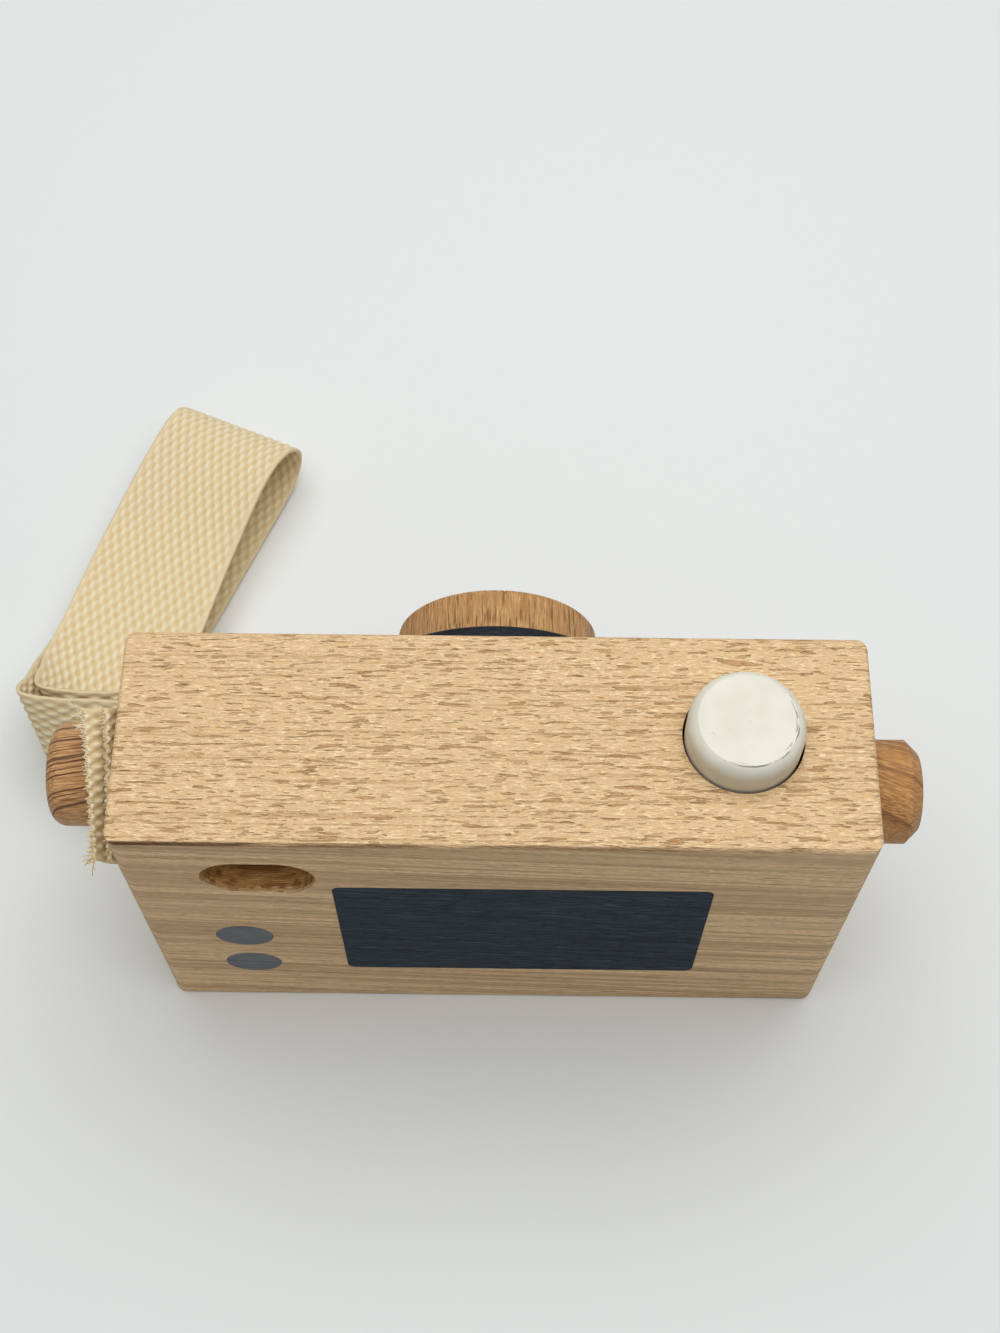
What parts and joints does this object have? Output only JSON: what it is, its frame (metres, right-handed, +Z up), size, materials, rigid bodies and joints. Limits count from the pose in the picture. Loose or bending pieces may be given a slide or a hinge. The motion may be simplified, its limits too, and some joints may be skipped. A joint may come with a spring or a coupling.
{
  "type": "toy camera",
  "caption": "Wooden toy camera: beech block with a sprung shutter button, a turning lens, a see-through viewfinder, a painted screen and a cotton wrist strap.",
  "frame": {"origin": "middle of the block's underside", "axes": "+X to the right of the child who looks through the viewfinder, +Y the way the lens looks, +Z up"},
  "size_m": [0.1606, 0.1269, 0.0823],
  "materials": {
    "beech": "planed and waxed beech",
    "turned_beech": "turned beech, oiled",
    "slate_paint": "thin matt paint over the grain",
    "grey_paint": "thin matt paint over the grain",
    "white_painted_beech": "satin white paint, worn at the edge",
    "navy_painted_beech": "satin navy paint",
    "spring_steel": "drawn wire",
    "cotton_webbing": "plain woven cotton"
  },
  "bodies": {
    "camera": {"body_block": "beech", "screen_paint": "slate_paint", "dot_paint": "grey_paint", "button_spring": "spring_steel", "left_strap_peg": "turned_beech", "right_strap_peg": "turned_beech", "wrist_strap": "cotton_webbing", "lens_ring": "navy_painted_beech", "lens_axle_peg": "navy_painted_beech"},
    "shutter": {"shutter_button": "white_painted_beech"},
    "lens": {"lens_barrel": "turned_beech"}
  },
  "joints": [
    {"name": "shutter_press", "type": "slide", "parent": "camera", "child": "shutter", "axis": [0, 0, -1], "range_m": [0, 0.0045], "stiffness_N_per_m": 450, "springref_m": -0.004, "deforming": ["button_spring"]},
    {"name": "lens_turn", "type": "hinge", "parent": "camera", "child": "lens", "pos_m": [0, 0.0185, 0.038], "axis": [0, 1, 0], "continuous": true}
  ]
}
